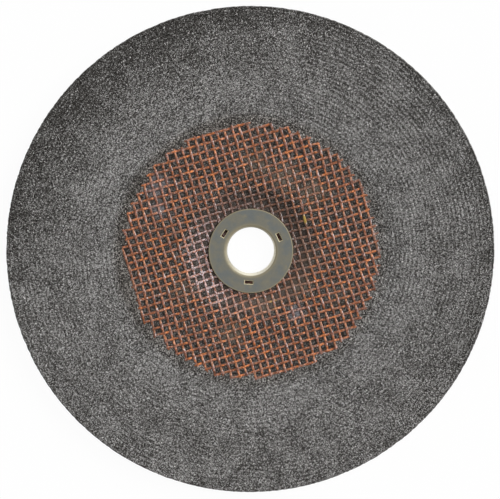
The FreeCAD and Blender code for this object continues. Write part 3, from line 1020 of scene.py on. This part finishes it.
def strand_material(name, cloth, crest_share, lit_share, lit_side, slopes, yellow_thread):
    """Resin-soaked glass strands: orange, worn mauve crests, a painted highlight on the lit side.

    The stretches that climb out of a dip and those that fall into one get painted light and
    shade: brown where they face away or lie in a crossing's shadow, tan or pale where they face
    the light, the pale partly dust.
    Brown shows between the fibres, and painted shade browns both sides, most the side away from
    the light. Round the ring the strands are dull.
    """
    material, nodes = new_material(name)
    here = Ground(nodes)
    place = here.place
    own_map = nodes.add("ShaderNodeUVMap", {"uv_map": "strand"}).outputs["UV"]
    crest, climb, tint = (nodes.attribute(label) for label in ("crest", "climb", "tint"))
    fibres = nodes.noise(nodes.vector("MULTIPLY", own_map, (13.0, 7.0, 1.0)), 1.0, 3.0, 0.6)
    patches = nodes.noise(place, 420.0, 2.0)
    grit = place_group(nodes, "Grit", Vector=place, Grain_Size=0.21 * MM, Pit_Share=0.12)
    turned = nodes.sum(math.pi / SIDES, (nodes.apart(own_map)["Y"], TAU))
    upward = nodes.math("SINE", turned)
    sideward = nodes.times(nodes.math("COSINE", turned), lit_side)

    base = nodes.mix(nodes.span(patches, 0.47, 0.62), cloth.orange, cloth.bright)
    for way, dip, (none, full), share, color in slopes:
        lean = nodes.sum(nodes.times(crest, -dip), (climb, way))
        base = nodes.mix(nodes.span(lean, none, full, 0.0, share), base, color)
    base = nodes.coats(
        base,
        (nodes.times(nodes.span(crest, 0.1, 0.9), crest_share), cloth.mauve),
        (nodes.span(tint, 0.75, 1.3, 0.0, 0.4), TINTED),
        (here.out(33, 23, 0.0, 0.4), DULL_BY_RING),
        *((nodes.times(here.zone(*area), share), color) for area, share, color in CLOTH_AREAS),
    )
    base = place_group(nodes, "Stains", Vector=place, Color=base, Share=1.0)["Color"]

    lit = nodes.times(
        nodes.span(sideward, 0.66, 0.9),
        nodes.span(upward, -0.05, 0.2),
        nodes.span(crest, -0.5, 0.6, 0.15, 1.0),
    )
    # Painted highlight: a pale streak along each strand's side that faces the light, broken by
    # noise
    streaks = nodes.times(
        lit,
        nodes.span(nodes.noise(place, 900.0, 2.0), 0.46, 0.58),
        nodes.span(nodes.noise(place, 170.0, 2.0), 0.35, 0.62, 0.35, 1.1),
        lit_share,
    )
    # Painted glints: pale flecks on the crests' side that faces the light
    lit_glints = nodes.times(
        nodes.span(sideward, 0.2, 0.6),
        nodes.span(crest, -0.3, 0.4),
        nodes.span(nodes.noise(place, 520.0, 1.0), 0.56, 0.62, 0.0, 0.45),
        lit_share,
    )
    # Painted highlight on the hollow's slope that faces the light: bluish white on the lighter
    # grains
    slope_highlight = nodes.times(
        here.zone(198.0, 0.68, 27, 34),
        nodes.span(grit["Brightness"], 0.60, 0.68, 0.0, 0.9),
        nodes.span(patches, 0.4, 0.6, 0.4, 1.0),
    )
    from_thread = nodes.vector("SUBTRACT", here.flat, (*yellow_thread, 0.0))
    thread = nodes.span(nodes.vector("LENGTH", from_thread), 2.6 * MM, 1.2 * MM, 0.0, 0.8)
    hidden = here.under_flange()
    base = nodes.coats(
        base,
        (nodes.span(fibres, 0.54, 0.38, 0.0, 0.85), cloth.brown),
        # Painted shade: brown along both sides of each strand, more on the side away from the light
        (nodes.span(upward, 0.62, 0.15, 0.0, 0.85), cloth.brown),
        (nodes.span(sideward, -0.35, -0.8, 0.0, 0.75), cloth.brown),
        (streaks, cloth.dust_and_sheen),
        (lit_glints, GLINT_WHITE),
        (nodes.span(grit["Brightness"], 0.42, 0.25, 0.0, 0.45), cloth.brown),
        (nodes.span(grit["Brightness"], 0.6, 0.85, 0.0, 0.3), cloth.dust_and_sheen),
        (nodes.span(grit["Gaps"], 0.5, 0.75, 0.0, 0.4), cloth.brown),
        (nodes.span(grit["Gaps"], 0.3, 0.1, 0.0, 0.25), cloth.dust_and_sheen),
        (nodes.times(grit["Specks"], 0.7), PALE_SPECK),
        (slope_highlight, SLOPE_HIGHLIGHT),
        (nodes.times(grit["Pits"], 0.7), scaled(cloth.brown, 0.5)),
        (thread, YELLOW),
        (nodes.times(here.warmed(), 0.2), WARM_STRAND),
        (nodes.times(hidden, 0.8), SHADED_STRAND),
    )
    rough = nodes.math("MAXIMUM", nodes.span(fibres, 0.3, 0.7, 0.42, 0.26), hidden)
    height = nodes.sum(fibres, (grit["Height"], 0.25))
    finish_material(nodes, base, rough, height, 0.05 * MM, Specular_IOR_Level=0.28)
    return material


FRAME_MARGIN, FRAME_DEPTH = 0.1 * MM, 0.42 * MM


def slot_frames(nodes, place, ring):
    """1 on the pressed edges round the three slots, 0 elsewhere."""
    frame_wear_and_highlight = 0.0
    for number in range(3):
        azimuth = ring.slot_angle + number * TAU / 3
        outward = (math.cos(azimuth), math.sin(azimuth), 0.0)
        sideways = (-math.sin(azimuth), math.cos(azimuth), 0.0)
        off = nodes.math("SUBTRACT", nodes.vector("DOT_PRODUCT", place, outward), ring.slot_radius)
        across = nodes.math("ABSOLUTE", off)
        along = nodes.math("ABSOLUTE", nodes.vector("DOT_PRODUCT", place, sideways))
        frame_here = nodes.times(
            nodes.math("LESS_THAN", across, ring.frame_width / 2 + FRAME_MARGIN),
            nodes.math("LESS_THAN", along, ring.frame_length / 2 + FRAME_MARGIN),
        )
        frame_wear_and_highlight = nodes.math("MAXIMUM", frame_wear_and_highlight, frame_here)
    height = nodes.apart(place)["Z"]
    return nodes.times(frame_wear_and_highlight, nodes.math("GREATER_THAN", height, RING_HIGH.z - FRAME_DEPTH))


def ring_material(ring):
    """Dull zinc plate: olive grey with bluish stains, worn at the lip; the slots' and the flange's
    edges lighter, partly wear and partly painted highlight; a painted reflection on the bore's
    wall.
    """
    material, nodes = new_material("ring_steel")
    here = Ground(nodes)
    place, radius = here.place, here.radius
    stains = place_group(nodes, "Mottle", Vector=place, Patch_Size=5 * MM)["Value"]
    scuffs = nodes.noise(place, 450.0, 4.0, 0.65)
    plate = nodes.mix(nodes.times(stains, here.out(12.5, 15)), ring.plate, ring.bluish)
    edge = nodes.span(radius, FLANGE_RADIUS - 0.8 * MM, FLANGE_RADIUS - 0.2 * MM, 0.0, 0.9)
    # Flange edge: a thin lighter line all round, partly wear and partly a painted highlight
    rubbed_and_lit = nodes.span(radius, FLANGE_RADIUS - 0.45 * MM, FLANGE_RADIUS - 0.2 * MM)
    # Slots' pressed edges: a bright painted highlight, partly wear, broken by scuffs
    frame_wear_and_highlight = nodes.times(slot_frames(nodes, place, ring), nodes.span(scuffs, 0.3, 0.55, 0.6, 1.0))
    # Painted reflection on the bore's wall, strongest on the side towards 318 degrees
    reflecting_side = nodes.span(here.towards(318.0), 0.3, 0.85, 0.25, 1.0)
    base = nodes.coats(
        plate,
        (nodes.span(scuffs, 0.55, 0.75, 0.0, 0.5), ring.worn),
        (nodes.math("MAXIMUM", here.out(13.4, 12.0), edge), ring.worn),
        (nodes.times(rubbed_and_lit, 0.6), scaled(ring.worn, 1.6)),
        (frame_wear_and_highlight, scaled(ring.worn, 2.6)),
        (nodes.times(here.out(12.05, 11.42), reflecting_side), ring.wall),
    )
    fine = nodes.noise(place, 900.0, 3.0, 0.6)
    rough = nodes.span(fine, 0.3, 0.7, 0.5, 0.65)
    height = nodes.sum(nodes.noise(place, 120.0, 2.0), (fine, 0.15))
    finish_material(nodes, base, rough, height, 0.03 * MM, Metallic=0.4, Specular_IOR_Level=0.3)
    return material


def dress(piece, material):
    """Gives a new piece its finish and lets it ride on the body."""
    piece.data.materials.append(material)
    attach(piece, BODY)


# Stage


FLOOR_HALF, FLOOR_DROP = 2.0, 0.2 * MM
# Share of the floor's own white that shows to the camera; the rest catches shadows
FLOOR_WHITE = 0.965
PALE_FLOOR, WHITE = (0.82, 0.82, 0.82), (1.0, 1.0, 1.0)


def build_floor():
    """A wide flat square just under the disc: two parameters, across and along."""
    corner = FLOOR_HALF * np.array([[-1, -1], [1, -1], [1, 1], [-1, 1]])
    points = np.column_stack([corner, np.full(4, -FLOOR_DROP)])
    floor = new_piece("floor", points, [np.array([[0, 1, 2, 3]])], smooth=False)
    material, nodes = new_material("floor")
    pale = nodes.add("ShaderNodeBsdfDiffuse", Color=PALE_FLOOR)
    white = nodes.add("ShaderNodeEmission", Color=WHITE, Strength=1.0)
    both = nodes.add("ShaderNodeMixShader")
    share = nodes.times(seen_share(nodes), FLOOR_WHITE)
    for socket, value in zip(both.inputs, (share, pale.outputs[0], white.outputs[0])):
        nodes.feed(socket, value)
    nodes.add("ShaderNodeOutputMaterial", Surface=both.outputs[0])
    floor.data.materials.append(material)


def seen_share(nodes):
    """1 for rays from the camera and through gloss or glass, 0 for the rest."""
    path = nodes.add("ShaderNodeLightPath").outputs
    share = nodes.math("MAXIMUM", path["Is Camera Ray"], path["Is Glossy Ray"])
    return nodes.math("MAXIMUM", share, path["Is Transmission Ray"])


def build_world(stage):
    """Even light from all round; what is seen of it is white."""
    world = bpy.data.worlds.new("studio")
    world.use_nodes = True
    nodes = Nodes(world.node_tree)
    strength = nodes.sum(stage.fill, (seen_share(nodes), 1.0 - stage.fill))
    light = nodes.add("ShaderNodeBackground", Color=WHITE, Strength=strength)
    nodes.add("ShaderNodeOutputWorld", Surface=light.outputs[0])
    bpy.context.scene.world = world


def build_light(stage):
    """One broad distant light from the right and a little above."""
    data = bpy.data.lights.new("key", "SUN")
    data.energy = stage.key_strength
    data.angle = stage.key_spread
    key = new_object("key", data)
    rise, turn = stage.key_rise, stage.key_turn
    out = Vector((math.cos(rise) * math.cos(turn), math.cos(rise) * math.sin(turn), math.sin(rise)))
    key.rotation_euler = out.to_track_quat("Z", "Y").to_euler()


AIM_RIGHT = -0.49 * MM
AIM_UP = 1.06 * MM


def build_camera(stage):
    """Camera almost straight above the face, its picture's top towards +Y."""
    data = bpy.data.cameras.new("camera")
    data.lens = stage.focal_length
    data.sensor_width = 36.0
    data.clip_end = 10.0
    camera = new_object("camera", data)
    back = Vector((-math.tan(stage.camera_left), math.tan(stage.camera_up), 1.0)).normalized()
    right = Vector((0, 1, 0)).cross(back).normalized()
    up = back.cross(right)
    turn = Matrix((right, up, back)).transposed().to_4x4()
    aim = Vector((AIM_RIGHT, AIM_UP, FACE_HEIGHT))
    camera.matrix_world = Matrix.Translation(aim + back * stage.camera_distance) @ turn
    bpy.context.scene.camera = camera


# Operators and panel


class MakeAbrasiveBody(bpy.types.Operator):
    """Builds the moulded abrasive body and hides the plain solid that it stands for"""

    bl_idname = "grinding_disc.make_abrasive_body"
    bl_label = "Abrasive body"

    def execute(self, context):
        scene = context.scene
        settings = scene.disc_dish, scene.disc_abrasive, scene.disc_cloth
        body = build_abrasive(*settings)
        dress(body, abrasive_material(*settings))
        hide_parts("abrasive_disc")
        return {"FINISHED"}


class MakeCloth(bpy.types.Operator):
    """Builds the woven glass-fibre strands, warp and weft"""

    bl_idname = "grinding_disc.make_cloth"
    bl_label = "Glass cloth"

    def execute(self, context):
        scene = context.scene
        cloth = scene.disc_cloth
        rows = (
            ("cloth_warp", True, cloth.warp_width, cloth.seed, WARP_LOOKS),
            ("cloth_weft", False, cloth.weft_width, cloth.seed + 1, WEFT_LOOKS),
        )
        for name, along_warp, width, seed, looks in rows:
            strands = build_strands(name, along_warp, width, scene.disc_dish, cloth, seed)
            dress(strands, strand_material(name, cloth, *looks))
            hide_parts("glass_cloth")
        return {"FINISHED"}


class FinishRing(bpy.types.Operator):
    """Gives the steel centre ring its finish"""

    bl_idname = "grinding_disc.finish_ring"
    bl_label = "Centre ring"

    def execute(self, context):
        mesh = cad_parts["centre_ring"].data
        mesh.materials.clear()
        mesh.materials.append(ring_material(context.scene.disc_ring))
        return {"FINISHED"}


class MakeStage(bpy.types.Operator):
    """Builds the floor, light and camera"""

    bl_idname = "grinding_disc.make_stage"
    bl_label = "Stage"

    def execute(self, context):
        stage = context.scene.disc_stage
        build_floor()
        build_world(stage)
        build_light(stage)
        build_camera(stage)
        context.scene.view_settings.view_transform = "Standard"
        return {"FINISHED"}


OPERATORS = (MakeAbrasiveBody, MakeCloth, FinishRing, MakeStage)
SETTINGS = (
    ("disc_dish", DishSettings),
    ("disc_abrasive", AbrasiveSettings),
    ("disc_cloth", ClothSettings),
    ("disc_ring", RingSettings),
    ("disc_stage", StageSettings),
)


class DiscPanel(bpy.types.Panel):
    """Lists the steps that build the disc"""

    bl_idname = "VIEW3D_PT_grinding_disc"
    bl_label = "Grinding disc"
    bl_space_type = "VIEW_3D"
    bl_region_type = "UI"
    bl_category = "Grinding disc"

    def draw(self, context):
        for operator in OPERATORS:
            self.layout.operator(operator.bl_idname)


def register():
    for name, group in SETTINGS:
        bpy.utils.register_class(group)
        setattr(bpy.types.Scene, name, PointerProperty(type=group))
    for item in (*OPERATORS, DiscPanel):
        bpy.utils.register_class(item)


def unregister():
    for item in (DiscPanel, *reversed(OPERATORS)):
        bpy.utils.unregister_class(item)
    for name, group in reversed(SETTINGS):
        delattr(bpy.types.Scene, name)
        bpy.utils.unregister_class(group)


def main():
    register()
    bpy.ops.grinding_disc.make_abrasive_body()
    bpy.ops.grinding_disc.make_cloth()
    bpy.ops.grinding_disc.finish_ring()
    bpy.ops.grinding_disc.make_stage()


if __name__ == "__main__":
    main()
